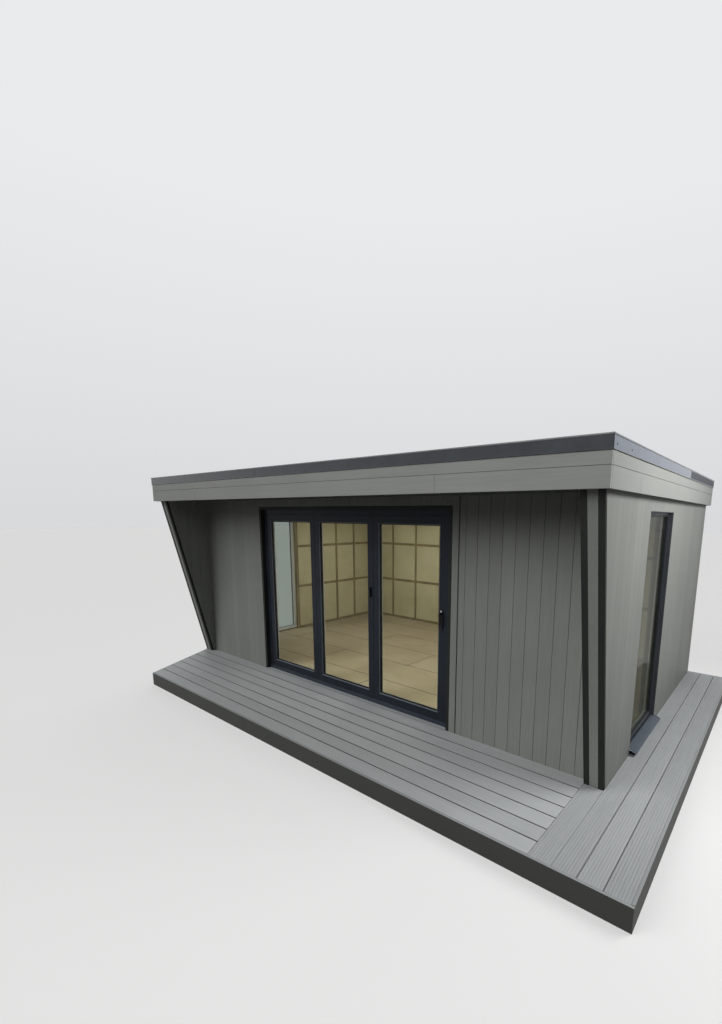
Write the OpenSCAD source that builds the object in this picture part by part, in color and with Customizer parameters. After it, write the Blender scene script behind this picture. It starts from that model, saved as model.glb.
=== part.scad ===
// Garden office pod: one room with a folding door, side windows and a deck that wraps two sides.
// Millimetres. The origin is on the ground, in the middle of the room's plan; the door faces -Y.

/* [Room] */
// Width over the side walls
pod_w = 5950; // [5300:50:7000]
// Depth from the front wall to the back wall
pod_d = 3550; // [2800:50:5000]
// Height of the soffit above the deck
soffit_h = 2215; // [2180:5:2500]
// Thickness of the cladding with the sheet behind it
skin_t = 60; // [40:5:80]
// Depth of the wall studs
stud_d = 90; // [70:5:120]
// Thickness of a stud
stud_t = 45; // [38:1:50]
// Distance between stud centres along the front and the back
stud_pitch = 570; // [400:10:620]
// Distance between stud centres along the sides
side_pitch = 450; // [400:10:620]
// Height of the lower row of noggins above the deck
noggin_low = 800; // [600:50:1000]
// Height of the upper row of noggins above the deck
noggin_high = 1500; // [1300:50:1700]
// Thickness of the inner floor
floor_t = 45; // [30:5:60]
// How far the left and back cladding hangs below the floor
skirt_h = 130; // [60:10:140]

/* [Roof] */
// Overhang in front of the front wall
eaves_front = 630; // [500:10:900]
// Overhang past each side wall
eaves_side = 50; // [35:5:90]
// Overhang past the back wall
eaves_back = 30; // [25:5:90]
// Thickness of the roof panel
roof_t = 230; // [200:10:280]
// Thickness of the soffit and ceiling boards
soffit_t = 15; // [9:1:25]
// Thickness of a fascia board
fascia_t = 20; // [15:1:25]
// Height of the lower fascia board
fascia_low = 133; // [110:1:150]
// How far the fascia drops below the soffit
fascia_drop = 15; // [5:1:40]
// Height of the roof edge trim
trim_h = 95; // [80:1:120]
// How far the trim stands up past the roof's surface
trim_up = 52; // [30:1:70]
// Thickness of the trim where it laps over the fascia
trim_lap = 8; // [3:1:12]
// Width of the trim's kerb, which stands on the roof and the fascia
trim_w = 50; // [30:1:80]

/* [Wings] */
// Thickness of a side wing
wing_t = 150; // [120:5:200]
// How far a wing stands in front of the wall at the deck
wing_foot = 60; // [40:5:120]
// How far a wing stands in front of the wall at the soffit
wing_head = 560; // [300:10:600]
// Width of each dark bar on a wing's front edge
bar_w = 42; // [25:1:60]
// Thickness of the dark bars
bar_t = 12; // [6:1:25]

/* [Folding door] */
// Width of the opening in the front wall
door_w = 3000; // [2400:50:3600]
// Height of the wall over the opening, up to the soffit
door_head = 85; // [60:5:200]
// Width of the dark liner round the opening
liner_w = 35; // [20:1:50]
// Width of the outer frame's face
frame_w = 55; // [40:1:80]
// Depth of the outer frame
frame_d = 80; // [60:5:100]
// How far the frame is set back from the wall's face
frame_set = 45; // [20:5:70]
// Height of the threshold above the deck
threshold_h = 48; // [46:1:70]
// Width of a panel's stiles and rails
stile_w = 86; // [60:1:110]
// Depth of a door panel
panel_d = 60; // [45:5:70]
// How far the panels are set back from the outer frame's face
panel_set = 5; // [2:1:10]
// Clearance round each door panel
panel_gap = 3; // [2:0.5:5]
// Length of the rollers under each panel
roller_l = 40; // [20:5:60]
// Width of the rollers under each panel
roller_w = 20; // [10:2:30]
// Number of folding panels
panels = 3; // [3:1:5]
// Thickness of the sealed glass units
glass_t = 28; // [20:1:36]
// How far the glass is set back from a panel's face
glass_set = 11; // [6:1:14]
// Length of the handle's plate
plate_h = 200; // [150:5:240]
// Width of the handle's plate
plate_w = 28; // [20:1:40]
// Thickness of the handle's plate
plate_t = 8; // [5:1:12]
// Height of the handle's spindle above the deck
spindle_h = 1125; // [900:5:1150]
// Length of the lever, which hangs down
lever_l = 125; // [90:5:135]
// Width of the lever
lever_w = 18; // [12:1:24]
// Thickness of the lever
lever_t = 12; // [8:1:16]
// Diameter of the boss that carries the lever
boss_d = 22; // [16:1:28]
// How far the boss stands out from the plate
boss_out = 24; // [16:1:40]
// Length of the pull on the middle panels
pull_h = 106; // [80:2:140]
// Width of the pull
pull_w = 26; // [18:1:40]
// How far the pull stands out from its panel
pull_out = 22; // [14:1:30]
// Height of the pull's centre above the deck
pull_z = 1234; // [1000:2:1400]

/* [Windows] */
// Width of a side window's opening
window_w = 900; // [600:20:1100]
// Distance from the front wall's face to the window's opening
window_y = 640; // [450:10:900]
// Height of the wall over the opening, up to the soffit
window_head = 125; // [60:5:300]
// Height of the opening's bottom above the inner floor
window_lift = 0; // [0:10:300]
// Width of the window frame's face
sash_w = 60; // [40:2:80]
// Depth of the window frame
sash_d = 70; // [50:5:80]
// How far the window is set back from the wall's face
window_set = 30; // [20:5:60]
// How far the glass is set back from the window frame's face
pane_set = 12; // [8:1:24]
// How far the sill's nose stands out from the wall
sill_out = 60; // [30:5:90]
// How far the sill runs past each side of the opening
sill_ear = 20; // [10:5:40]
// Height of the sill's nose
sill_nose = 30; // [20:2:36]
// How far the sill rises from the opening's bottom to the frame
sill_rise = 15; // [6:1:20]
// How far the sill's top falls from the frame to the nose
sill_fall = 20; // [16:1:36]

/* [Deck] */
// Height of the deck above the ground
deck_h = 160; // [150:5:220]
// Distance between the deck boards' centre lines
board_pitch = 150; // [120:5:170]
// Gap between deck boards
board_gap = 5; // [3:1:8]
// Thickness of a deck board
board_t = 25; // [20:1:32]
// Number of board widths in front of the pod
front_rows = 7; // [5:1:10]
// Number of board widths beside the pod
side_rows = 3; // [2:1:5]
// Thickness of the deck's edge boards
edge_t = 20; // [15:1:25]
// Gap between the deck's edge boards and the ground
edge_lift = 5; // [2:1:15]
// How far the deck's left end runs in at its front corner
left_skew = 555; // [100:5:700]
// Thickness of the deck's joists
joist_t = 45; // [38:1:50]
// Distance between joist centres
joist_pitch = 400; // [300:10:450]
// Clearance round what stands through the deck
notch_gap = 3; // [2:1:6]

/* [Hidden] */
$fn = 48;

// Heights, measured from the deck's surface
wall_top = soffit_h + soffit_t;
roof_top = wall_top + roof_t;
trim_top = roof_top + trim_up;
trim_z = trim_top - trim_h;
fascia_z = soffit_h - fascia_drop;
// Joint line between two boards that meet closely
board_line = 2;
// Joint line at a timber's ends
timber_gap = 1;
upper_z = fascia_z + fascia_low + board_line;
joist_top = -board_t;
ground = -deck_h;
// Room inside the skins and inside the studs
in_x0 = skin_t;
in_x1 = pod_w - skin_t;
in_y1 = pod_d - skin_t;
wall_t = skin_t + stud_d;
// Roof's outer faces
roof_x0 = -eaves_side;
roof_x1 = pod_w + eaves_side;
roof_y0 = -eaves_front;
roof_y1 = pod_d + eaves_back;
// Inner faces of the fascia boards
eave_x0 = roof_x0 + fascia_t;
eave_x1 = roof_x1 - fascia_t;
eave_y0 = roof_y0 + fascia_t;
eave_y1 = roof_y1 - fascia_t;
// Folding door
door_h = soffit_h - door_head;
door_x0 = (pod_w - door_w) / 2;
door_x1 = door_x0 + door_w;
frame_x0 = door_x0 + liner_w;
frame_x1 = door_x1 - liner_w;
frame_top = door_h - liner_w;
leaf_x0 = frame_x0 + frame_w;
leaf_pitch = (frame_x1 - frame_w - leaf_x0) / panels;
leaf_top = frame_top - frame_w;
leaf_y = frame_set + panel_set;
glass_y = leaf_y + glass_set;
// Windows
window_top = soffit_h - window_head;
window_y1 = window_y + window_w;
window_z = floor_t + window_lift;
sash_z0 = window_z + sill_rise;
nose_r = sill_nose / 2;
nose_x = nose_r - sill_out;
// Deck
deck_y0 = -front_rows * board_pitch - edge_t;
deck_x1 = pod_w + side_rows * board_pitch + edge_t;
seam_x = pod_w - wing_t;
skew_rate = left_skew / (-deck_y0 - wing_foot);
// What a thickness across the skewed end measures along X
skew_stretch = sqrt(1 + skew_rate * skew_rate);
skew_edge = edge_t * skew_stretch;
// Cuts run this far past the faces that they open
over = 10;

module place() {
    translate([-pod_w / 2, -pod_d / 2, deck_h]) children();
}

module slab(a, b) {
    translate(a) cube(b - a);
}

// Upright sheet with a rectangular hole, normal to Y
module ring_y(a, b, face) {
    difference() {
        slab(a, b);
        slab([a.x + face, a.y - over, a.z + face], [b.x - face, b.y + over, b.z - face]);
    }
}

// Upright sheet with a rectangular hole, normal to X
module ring_x(a, b, face) {
    difference() {
        slab(a, b);
        slab([a.x - over, a.y + face, a.z + face], [b.x + over, b.y - face, b.z - face]);
    }
}

// Mirror image across the pod's middle plane
module other_side() {
    translate([pod_w, 0, 0]) mirror([1, 0, 0]) children();
}

module base_frame() {
    color("#6b5d49") place() slab([in_x0, 0, ground], [pod_w, in_y1, 0]);
}

module floor_boards() {
    color("#a8957a") place() difference() {
        slab([in_x0, skin_t, 0], [in_x1, in_y1, floor_t]);
        slab([door_x0, 0, -over], [door_x1, frame_set + frame_d, floor_t + over]);
    }
}

module front_wall_left() {
    color("#8b8e88") place() slab([in_x0, 0, 0], [door_x0, skin_t, wall_top]);
}

module front_wall_right() {
    color("#8b8e88") place() slab([door_x1, 0, 0], [in_x1, skin_t, wall_top]);
}

module front_wall_header() {
    color("#8b8e88") place() slab([door_x0, 0, door_h], [door_x1, skin_t, wall_top]);
}

module back_wall() {
    color("#8b8e88") place() slab([in_x0, in_y1, -skirt_h], [in_x1, pod_d, wall_top]);
}

// Left wall's piece in front of the window, with the strip under it
module wall_by_door(foot) {
    slab([0, 0, foot], [skin_t, window_y, wall_top]);
    slab([0, window_y, foot], [skin_t, window_y1, window_z]);
}

// Left wall's piece behind the window, with the strip over it
module wall_by_back(foot) {
    slab([0, window_y1, foot], [skin_t, pod_d, wall_top]);
    slab([0, window_y, window_top], [skin_t, window_y1, wall_top]);
}

module left_wall_front() {
    color("#8b8e88") place() wall_by_door(-skirt_h);
}

module left_wall_back() {
    color("#8b8e88") place() wall_by_back(-skirt_h);
}

module right_wall_front() {
    color("#999c96") place() other_side() wall_by_door(0);
}

module right_wall_back() {
    color("#999c96") place() other_side() wall_by_back(0);
}

// Where a wing's raked front edge runs
function wing_edge(z) = -wing_foot - (wing_head - wing_foot) * z / soffit_h;

// Side view of a wing as [y, z] points, with its front edge set back by the bars
module wing_side(back) {
    polygon([
        [0, joist_top], [0, soffit_h], [wing_edge(soffit_h) + back, soffit_h],
        [wing_edge(joist_top) + back, joist_top]
    ]);
}

// Turns a side view into a sheet that is thick along X from x0
module stand_x(x0, thick) {
    translate([x0, 0, 0]) rotate([90, 0, 90]) linear_extrude(thick) children();
}

module wing() {
    stand_x(0, wing_t) wing_side(bar_t);
}

module wing_bars() {
    for (x0 = [0, wing_t - bar_w])
        stand_x(x0, bar_w) difference() {
            wing_side(0);
            wing_side(bar_t);
            translate([-wing_foot - over, joist_top - over]) square([wing_foot + 2 * over, over - joist_top]);
        }
}

module left_wing() {
    color("#7d807b") place() wing();
}

module right_wing() {
    color("#7d807b") place() other_side() wing();
}

module left_wing_bars() {
    color("#191c1a") place() wing_bars();
}

module right_wing_bars() {
    color("#191c1a") place() other_side() wing_bars();
}

module roof_panel() {
    color("#2f3234") place() slab([eave_x0, eave_y0, wall_top], [eave_x1, eave_y1, roof_top]);
}

module soffit_board() {
    color("#2b2e2d") place() slab([eave_x0, eave_y0, soffit_h], [eave_x1, 0, wall_top]);
}

module ceiling_board() {
    color("#b3a488") place() slab([wall_t, wall_t, soffit_h], [pod_w - wall_t, pod_d - wall_t, wall_top]);
}

// Lower and upper boards over one stretch of the roof's edge
module fascia_pair(a, b) {
    slab([a.x, a.y, fascia_z], [b.x, b.y, fascia_z + fascia_low]);
    slab([a.x, a.y, upper_z], [b.x, b.y, roof_top]);
}

module fascia_front() {
    color("#7e7f7b") place() fascia_pair([roof_x0, roof_y0], [roof_x1, eave_y0]);
}

module fascia_back() {
    color("#7e7f7b") place() fascia_pair([roof_x0, eave_y1], [roof_x1, roof_y1]);
}

module fascia_left() {
    color("#8c8e8a") place() fascia_pair([roof_x0, eave_y0], [eave_x0, eave_y1]);
}

module fascia_right() {
    color("#a0a4a3") place() fascia_pair([eave_x1, eave_y0], [roof_x1, eave_y1]);
}

// Rectangle that is the roof's outline grown by some amount
module roof_outline(grow) {
    translate([roof_x0 - grow, roof_y0 - grow])
        square([roof_x1 - roof_x0 + 2 * grow, roof_y1 - roof_y0 + 2 * grow]);
}

// Flat band round the roof between two outlines, from z0 to z1
module roof_band(inner, outer, z0, z1) {
    translate([0, 0, z0]) linear_extrude(z1 - z0) difference() {
        roof_outline(outer);
        roof_outline(inner);
    }
}

// Edge trim all the way round: a kerb on the roof, with a lap down over the fascia
module trim_all() {
    roof_band(-trim_w, trim_lap, roof_top, trim_top);
    roof_band(0, trim_lap, trim_z, roof_top);
}

// One side of the trim, cut at 45 degrees where it meets its neighbours
module trim_side(corner_a, corner_b) {
    dir = (corner_b - corner_a) / norm(corner_b - corner_a);
    inward = [-dir.y, dir.x];
    out_a = corner_a - (dir + inward) * (trim_lap + over);
    out_b = corner_b + (dir - inward) * (trim_lap + over);
    in_a = corner_a + (dir + inward) * (trim_w + over);
    in_b = corner_b - (dir - inward) * (trim_w + over);
    intersection() {
        trim_all();
        translate([0, 0, trim_z - over]) linear_extrude(trim_h + 2 * over)
            polygon([out_a, out_b, in_b, in_a]);
    }
}

module roof_trim_front() {
    color("#383d42") place() trim_side([roof_x0, roof_y0], [roof_x1, roof_y0]);
}

module roof_trim_right() {
    color("#7f868c") place() trim_side([roof_x1, roof_y0], [roof_x1, roof_y1]);
}

module roof_trim_back() {
    color("#383d42") place() trim_side([roof_x1, roof_y1], [roof_x0, roof_y1]);
}

module roof_trim_left() {
    color("#383d42") place() trim_side([roof_x0, roof_y1], [roof_x0, roof_y0]);
}

// Three-sided surround that stands on z0
module surround(x0, x1, y0, y1, z0, z1, face) {
    difference() {
        slab([x0, y0, z0], [x1, y1, z1]);
        slab([x0 + face, y0 - over, z0 - over], [x1 - face, y1 + over, z1 - face]);
    }
}

module door_liner() {
    color("#1b1d1d") place() surround(door_x0, door_x1, 0, frame_set + frame_d, 0, door_h, liner_w);
}

module door_frame() {
    color("#232830") place()
        surround(frame_x0, frame_x1, frame_set, frame_set + frame_d, threshold_h, frame_top, frame_w);
}

module door_threshold() {
    color("#232830") place() slab([frame_x0, frame_set, 0], [frame_x1, frame_set + frame_d, threshold_h]);
}

function leaf_from(i) = leaf_x0 + i * leaf_pitch + panel_gap / 2;
function leaf_to(i) = leaf_x0 + (i + 1) * leaf_pitch - panel_gap / 2;

// Leaf with the two rollers that carry it on the threshold
module door_panel(i) {
    low = threshold_h + panel_gap;
    ring_y([leaf_from(i), leaf_y, low], [leaf_to(i), leaf_y + panel_d, leaf_top - panel_gap], stile_w);
    for (x = [leaf_from(i) + roller_l, leaf_to(i) - 2 * roller_l])
        slab([x, leaf_y + (panel_d - roller_w) / 2, threshold_h],
            [x + roller_l, leaf_y + (panel_d + roller_w) / 2, low]);
}

module door_panel_left() {
    color("#232830") place() door_panel(0);
}

module door_panel_middle() {
    color("#232830") place() for (i = [1:panels - 2]) door_panel(i);
}

module door_panel_right() {
    color("#232830") place() door_panel(panels - 1);
}

module door_glass() {
    color("#5f6b66", 0.5) place() for (i = [0:panels - 1])
        slab([leaf_from(i) + stile_w, glass_y, threshold_h + panel_gap + stile_w],
            [leaf_to(i) - stile_w, glass_y + glass_t, leaf_top - panel_gap - stile_w]);
}

// Plate with a boss and a lever that hangs down in front of it
module handle(x) {
    boss_r = boss_d / 2;
    plate_top = spindle_h + plate_w + boss_r;
    lever_y = leaf_y - plate_t - boss_out;
    slab([x - plate_w / 2, leaf_y - plate_t, plate_top - plate_h], [x + plate_w / 2, leaf_y, plate_top]);
    translate([x, leaf_y - plate_t, spindle_h]) rotate([90, 0, 0]) cylinder(r = boss_r, h = boss_out);
    slab([x - lever_w / 2, lever_y - lever_t, spindle_h - lever_l],
        [x + lever_w / 2, lever_y, spindle_h + boss_r]);
}

// Small pull on the meeting stile of two panels
module pull(x) {
    slab([x - pull_w / 2, leaf_y - pull_out, pull_z - pull_h / 2],
        [x + pull_w / 2, leaf_y, pull_z + pull_h / 2]);
}

module door_handles() {
    color("#0f1011") place() {
        handle(leaf_to(panels - 1) - stile_w / 2);
        pull(leaf_to(panels - 2) - stile_w / 2);
    }
}

// Left window's frame; the right one is its mirror image
module window_frame() {
    ring_x([window_set, window_y, sash_z0], [window_set + sash_d, window_y1, window_top], sash_w);
}

module window_frame_left() {
    color("#2c3138") place() window_frame();
}

module window_frame_right() {
    color("#2c3138") place() other_side() window_frame();
}

module window_sheet() {
    glass_x = window_set + pane_set;
    slab([glass_x, window_y + sash_w, sash_z0 + sash_w],
        [glass_x + glass_t, window_y1 - sash_w, window_top - sash_w]);
}

module window_glass() {
    color("#4c5650", 0.5) place() {
        window_sheet();
        other_side() window_sheet();
    }
}

// Height of the sill's top, which falls evenly from the frame to the nose
function sill_z(x) = sash_z0 - sill_fall * (window_set - x) / (window_set - nose_x);

// Sill: a sloping slab under the frame, with a round nose outside the wall
module sill() {
    nose_z = sill_z(nose_x) - nose_r;
    translate([0, window_y1, 0]) rotate([90, 0, 0]) linear_extrude(window_w)
        polygon([
            [0, window_z], [window_set + sash_d, window_z],
            [window_set + sash_d, sash_z0], [window_set, sash_z0], [0, sill_z(0)]
        ]);
    translate([0, window_y1 + sill_ear, 0]) rotate([90, 0, 0]) linear_extrude(window_w + 2 * sill_ear) {
        translate([nose_x, nose_z]) circle(r = nose_r);
        polygon([
            [0, sill_z(0)], [nose_x, nose_z + nose_r], [nose_x, nose_z - nose_r], [0, nose_z - nose_r]
        ]);
    }
}

module window_sills() {
    color("#555c69") place() {
        sill();
        other_side() sill();
    }
}

// Stud places from one end to the other, at the pitch, with one at each end and two studs' room beside it
function stud_places(a, b, pitch) = [for (s = [a:pitch:b - 4 * stud_t]) s, b - stud_t];

// Stretch of stud wall along X: plates at foot and head, studs between them, noggins between the studs
module stud_run(u0, u1, pitch) {
    studs = stud_places(u0, u1, pitch);
    for (z = [floor_t, wall_top - stud_t])
        slab([u0, 0, z], [u1, stud_d, z + stud_t]);
    for (u = studs)
        slab([u, 0, floor_t + stud_t + timber_gap], [u + stud_t, stud_d, wall_top - stud_t - timber_gap]);
    for (i = [1:len(studs) - 1])
        for (z = [noggin_low, noggin_high])
            slab([studs[i - 1] + stud_t + timber_gap, 0, z - stud_t / 2],
                [studs[i] - timber_gap, stud_d, z + stud_t / 2]);
}

// Beam over an opening, up to the wall's top
module lintel(u0, u1, z0) {
    slab([u0 + timber_gap, 0, z0], [u1 - timber_gap, stud_d, wall_top]);
}

// Stud wall against the left skin, open at the window
module side_studs() {
    translate([skin_t, 0, 0]) mirror([1, -1, 0]) {
        stud_run(skin_t, window_y, side_pitch);
        stud_run(window_y1, in_y1, side_pitch);
        lintel(window_y, window_y1, window_top);
    }
}

module studs_left() {
    color("#8a7a5e") place() side_studs();
}

module studs_right() {
    color("#8a7a5e") place() other_side() side_studs();
}

module studs_back() {
    color("#8a7a5e") place() translate([0, in_y1 - stud_d, 0]) stud_run(wall_t, pod_w - wall_t, stud_pitch);
}

module studs_front() {
    color("#8a7a5e") place() translate([0, skin_t, 0]) {
        stud_run(wall_t, door_x0, stud_pitch);
        stud_run(door_x1, pod_w - wall_t, stud_pitch);
        lintel(door_x0, door_x1, door_h);
    }
}

// Where the deck's left end runs, which starts at the wing's outer corner
function left_x(y) = skew_rate * max(0, -y - wing_foot);

// Strip along the deck's left end, between two distances behind the front wall's face
module skew_strip(y_front, y_back, inset, width) {
    low = left_x(y_front) + inset;
    high = left_x(y_back) + inset;
    polygon([[low, y_front], [low + width, y_front], [high + width, y_back], [high, y_back]]);
}

// Plan of what lies in front of the pod, from y_front back to the wall, inside the left edge board
module front_plan(y_front, inset) {
    polygon([
        [inset, 0], [seam_x, 0], [seam_x, y_front],
        [left_x(y_front) + inset, y_front], [left_x(-wing_foot) + inset, -wing_foot]
    ]);
}

// One row of boards for each pitch, with the first row against the wall
module deck_front_boards() {
    color("#989c9c") place() translate([0, 0, -board_t]) linear_extrude(board_t) difference() {
        intersection() {
            front_plan(deck_y0 + edge_t, skew_edge);
            for (i = [0:front_rows - 1])
                translate([0, -(i + 1) * board_pitch]) square([seam_x - board_line, board_pitch - board_gap]);
        }
        translate([-over, -wing_foot - notch_gap]) square([wing_t + notch_gap + over, wing_foot + 2 * over]);
    }
}

// The first board ends at the wing; the others run along the side wall
module deck_side_boards() {
    front = deck_y0 + edge_t;
    color("#a7adad") place() {
        slab([seam_x, front, -board_t], [pod_w - board_line, -wing_foot - notch_gap, 0]);
        for (i = [0:side_rows - 1])
            slab([pod_w + i * board_pitch + (i == 0 ? board_line : board_gap), front, -board_t],
                [pod_w + (i + 1) * board_pitch, pod_d - edge_t, 0]);
    }
}

// Edge boards stand on end round the deck, flush with its surface
module deck_edges() {
    low = ground + edge_lift;
    front = deck_y0 + edge_t;
    side_y = front + board_line;
    color("#4a4b49") place() translate([0, 0, low]) linear_extrude(-low) {
        polygon([[left_x(deck_y0), deck_y0], [deck_x1, deck_y0], [deck_x1, front], [left_x(front), front]]);
        translate([deck_x1 - edge_t, side_y]) square([edge_t, pod_d - side_y]);
        translate([pod_w, pod_d - edge_t]) square([deck_x1 - edge_t - board_line - pod_w, edge_t]);
        skew_strip(side_y, -wing_foot - notch_gap, 0, skew_edge);
    }
}

// Joist places from one end to the other, at the pitch, with one at each end
function joist_places(a, b) = [for (s = [a:joist_pitch:b - 2 * joist_t]) s, b - joist_t];

// Joists stand on the ground under the boards, square to them, and stop short of their neighbours
module deck_joists() {
    front = deck_y0 + edge_t;
    ledger_y = -joist_t - timber_gap;
    trimmer = joist_t * skew_stretch;
    clear = timber_gap * skew_stretch;
    right = deck_x1 - edge_t;
    color("#7b6a4f") place() translate([0, 0, ground]) linear_extrude(joist_top - ground) {
        translate([0, -joist_t]) square([pod_w, joist_t]);
        skew_strip(front, -wing_foot, skew_edge, trimmer);
        intersection() {
            front_plan(front, skew_edge + trimmer + clear);
            for (x = joist_places(joist_pitch, seam_x))
                translate([x, front]) square([joist_t, ledger_y - front]);
        }
        for (y = joist_places(front, ledger_y))
            translate([seam_x + timber_gap, y]) square([right - seam_x - timber_gap, joist_t]);
        for (y = joist_places(0, pod_d - edge_t))
            translate([pod_w, y]) square([right - pod_w, joist_t]);
    }
}

base_frame();
floor_boards();
front_wall_left();
front_wall_right();
front_wall_header();
back_wall();
left_wall_front();
left_wall_back();
right_wall_front();
right_wall_back();
left_wing();
right_wing();
left_wing_bars();
right_wing_bars();
roof_panel();
soffit_board();
ceiling_board();
fascia_front();
fascia_left();
fascia_right();
fascia_back();
roof_trim_front();
roof_trim_left();
roof_trim_right();
roof_trim_back();
door_liner();
door_frame();
door_threshold();
door_panel_left();
door_panel_middle();
door_panel_right();
door_glass();
door_handles();
window_frame_left();
window_frame_right();
window_glass();
window_sills();
studs_left();
studs_right();
studs_back();
studs_front();
deck_front_boards();
deck_side_boards();
deck_edges();
deck_joists();
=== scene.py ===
"""Garden office pod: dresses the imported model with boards, frames, glass, roof and deck, in metres.

The frame's own boxes give the places; the values below give what the boxes don't hold. X runs along the
front, Y goes in through the door and Z is up from the pod's foot.
"""
import math

import bmesh
import bpy
import numpy as np
from mathutils import Matrix, Vector


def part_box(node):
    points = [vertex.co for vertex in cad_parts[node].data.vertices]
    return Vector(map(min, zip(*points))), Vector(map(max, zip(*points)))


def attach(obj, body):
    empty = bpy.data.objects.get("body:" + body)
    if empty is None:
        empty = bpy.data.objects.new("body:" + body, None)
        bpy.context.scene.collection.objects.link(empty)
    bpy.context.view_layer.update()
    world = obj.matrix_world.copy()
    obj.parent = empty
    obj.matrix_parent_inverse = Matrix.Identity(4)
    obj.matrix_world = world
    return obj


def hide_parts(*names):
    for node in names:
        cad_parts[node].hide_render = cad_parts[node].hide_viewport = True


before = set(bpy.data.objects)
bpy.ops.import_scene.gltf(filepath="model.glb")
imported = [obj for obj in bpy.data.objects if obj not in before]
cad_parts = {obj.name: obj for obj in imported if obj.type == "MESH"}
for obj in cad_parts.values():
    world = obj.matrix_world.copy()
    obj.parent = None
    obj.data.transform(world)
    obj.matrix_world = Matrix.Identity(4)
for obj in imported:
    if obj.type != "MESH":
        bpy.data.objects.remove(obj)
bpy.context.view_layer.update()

# Clearance between neighbouring pieces
FIT = 0.001
# Wall boards, and the gaps between them: plain, and fine on the walls that look smooth
BOARD = 0.120
BOARD_T = 0.020
BOARD_GAP = 0.0025
SIDE_GAP = 0.0007
BOARD_EASE = 0.001
# Sheets of board behind them
SHEET = 1.2
SHEET_GAP = 0.001
SHEET_EASE = 0.0005
# Strip beside the door, and the board at the wing
DOOR_STRIP = 0.075
STRIP_GAP = 0.010
CORNER_BOARD = 0.100
# Studs, the heights of their noggins above the deck, and the boards between them
STUD_T = 0.045
STUD_D = 0.090
STUD_PITCH = 0.570
SIDE_PITCH = 0.450
NOGGINS = np.array([0.800, 1.500])
INFILL_SET = 0.004
INFILL_GAP = 0.002
# Wings, and the dark bars on their raked edges
WING_T = 0.150
WING_FOOT = 0.060
BAR_W = 0.042
BAR_T = 0.012
BAR_LEG = 0.018
LEG_T = 0.0025
STRIP_SET = 0.002
# Fascia boards; the joints of the lower and the upper row, from the left wall or the front wall
FASCIA_LOW = 0.133
FASCIA_JOINT = 0.002
FASCIA_EASE = 0.0015
FRONT_JOINTS = ((1.134, 4.737), (2.9,))
BACK_JOINTS = ((2.4,), (3.6,))
SIDE_JOINTS = ((0.055,), ())
# Roof trim: how far its face is set back from its bead, and its lengths with how far each stands proud
TRIM_W = 0.050
TRIM_SET = 0.004
BEAD_R = 0.007
LAP_START = 2.38
LAP_END = 2.42
LAP_PROUD = 0.001
SIDE_JOINT = 1.90
SIDE_PROUD = 0.0012
DULL_PROUD = 0.0004
SCREW_Z = 0.035
SCREWS_Y = (0.06, 0.37)
# Roof sheet
SHEET_LAP = 1.4
SHEET_T = 0.003
SHEET_BED = 0.002
SHEET_GRID = (241, 161)
CANT = 0.030
# Folding door and side windows
LEAF_GAP = 0.003
STILE = 0.086
FRAME_W = 0.055
SASH = 0.040
BEAD = 0.010
UNIT_T = 0.028
PANE = 0.004
SPACER_W = 0.006
EASE = 0.0015
SEAL_W = 0.009
SEAL_T = 0.006
SEAL_SET = 0.008
LINING_T = 0.003
SILL_NOSE = 0.015
SILL_T = 0.003
# Heights of the handle's parts above the deck, and how far they start in front of the leaf
PLATE_Z = 1.064
KEY_Z = 0.985
SPINDLE_Z = 1.125
LEVER_Z = 1.068
CAP_Z = 1.148
PULL_Z = 1.234
ON_PLATE = 0.007
LEVER_OUT = 0.032
# Deck
DECK_ROWS = 7
SIDE_ROWS = 3
DECK_PITCH = 0.150
DECK_GAP = 0.005
PLANK_GAP = 0.008
PLANK_EASE = 0.003
STRIP_PROUD = 0.003
DECK_T = 0.025
EDGE_T = 0.020
EDGE_GAP = 0.002
NOTCH = 0.003
LEFT_SKEW = 0.555
RIB = 0.018
RIB_DEPTH = 0.0025
# Far lamps: level (1 shows a white face turned to the lamp as white), spread in degrees, direction of each,
# and whether rays that pass through glass meet it
SUNS = {
    "front_sun": (0.48, 50, (-0.46, -0.69, 0.545), True),
    "back_sun": (0.40, 60, (-0.60, 0.60, 0.55), False),
}
# Rectangular lamps: length and width, watts, place and aim
LAMPS = {
    "side_lamp": (3.0, 1.2, 140.0, (5.2, -0.6, 3.8), (3.0, -0.6, 1.9)),
    "front_lamp": (4.0, 2.0, 29.0, (2.5, -5.5, 4.5), (1.5, -1.8, 1.0)),
    "room_lamp": (4.4, 2.2, 38.0, (0.0, 0.0, 2.275), (0.0, 0.0, 0.0)),
}
# Floor and backdrop
DOME_LEVEL = 0.05
DOME_TINT = (0.97, 0.985, 1.0, 1.0)
BACKDROP_LOW = 0.71
BACKDROP_HIGH = 0.84
FLOOR_HALF = 80.0
FLOOR_GLOW = 0.465
# Camera, in the photograph's pixels and degrees
PHOTO = (722, 1024)
FOCAL = 465.3
CENTRE = (420.6, 596.7)
CAMERA_AT = (3.873, -5.231, 2.190)
YAW, PITCH, ROLL = (math.radians(angle) for angle in (38.264, 9.789, 0.544))

tones = np.random.default_rng(11)


def box(name):
    """Lowest and highest corner of a CAD node."""
    low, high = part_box(name)
    return np.array(low), np.array(high)


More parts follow.
